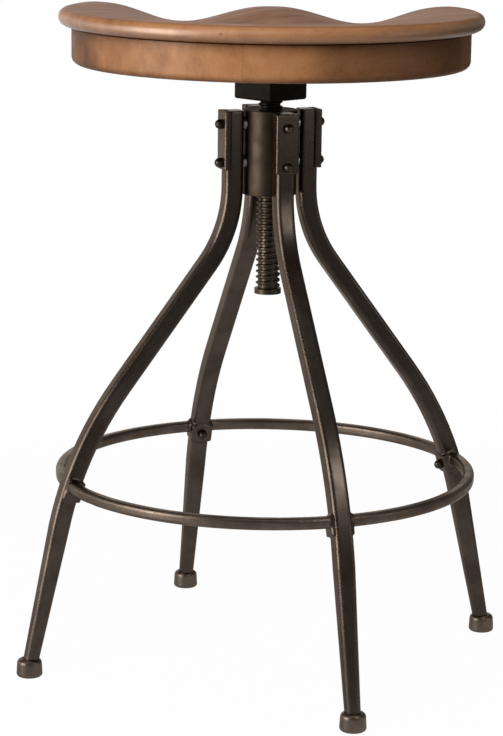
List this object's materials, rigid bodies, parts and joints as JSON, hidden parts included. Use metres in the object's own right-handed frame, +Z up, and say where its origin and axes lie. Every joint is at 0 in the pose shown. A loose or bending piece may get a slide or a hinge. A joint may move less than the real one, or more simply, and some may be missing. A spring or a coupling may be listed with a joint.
{
  "type": "bar stool",
  "caption": "Bar stool with a round scooped wooden seat on a thick screw that winds through a hub of bent metal legs joined by a footrest ring, so turning the seat sets its height.",
  "frame": {"origin": "on the floor, on the axis of the height screw, midway between the four feet", "axes": "+Z up along the screw; +Y towards the front of the seat, where the thigh grooves run out"},
  "size_m": [0.4766, 0.4766, 0.6395],
  "materials": {
    "seat_wood": "satin brown stain",
    "bronze_frame": "satin dark bronze, rubbed lighter along edges",
    "dark_hub": "satin black bronze",
    "worn_hardware": "dark bronze worn on the domes",
    "screw_steel": "oiled dark steel",
    "zinc_fasteners": "dull zinc"
  },
  "bodies": {
    "base": {"leg_right": "bronze_frame", "leg_front": "bronze_frame", "leg_left": "bronze_frame", "leg_rear": "bronze_frame", "saddle_right": "bronze_frame", "saddle_front": "bronze_frame", "saddle_left": "bronze_frame", "saddle_rear": "bronze_frame", "ferrule_right": "bronze_frame", "ferrule_front": "bronze_frame", "ferrule_left": "bronze_frame", "ferrule_rear": "bronze_frame", "strap_right": "bronze_frame", "strap_front": "bronze_frame", "strap_left": "bronze_frame", "strap_rear": "bronze_frame", "footrest_right_front": "bronze_frame", "footrest_front_left": "bronze_frame", "footrest_left_rear": "bronze_frame", "footrest_rear_right": "bronze_frame", "hub_sleeve": "dark_hub", "hub_bolts": "worn_hardware", "saddle_bolts": "worn_hardware", "hub_spacers": "worn_hardware"},
    "stop": {"stop_washer": "screw_steel"},
    "seat": {"seat": "seat_wood", "seat_plate": "dark_hub", "plate_screws": "zinc_fasteners", "socket_block": "dark_hub", "socket_set_screw": "zinc_fasteners", "lead_screw": "screw_steel", "stop_screw": "zinc_fasteners"}
  },
  "joints": [
    {"name": "seat_lift", "type": "slide", "parent": "base", "child": "stop", "axis": [0, 0, 1], "range_m": [-0.0091, 0.0916]},
    {"name": "seat_turn", "type": "hinge", "parent": "stop", "child": "seat", "pos_m": [0, 0, 0.3713], "axis": [0, 0, 1], "range_deg": [-578, 5882]}
  ],
  "couplings": [
    {"joint": "seat_lift", "follows": "seat_turn", "m_per_rad": 0.00089127}
  ]
}
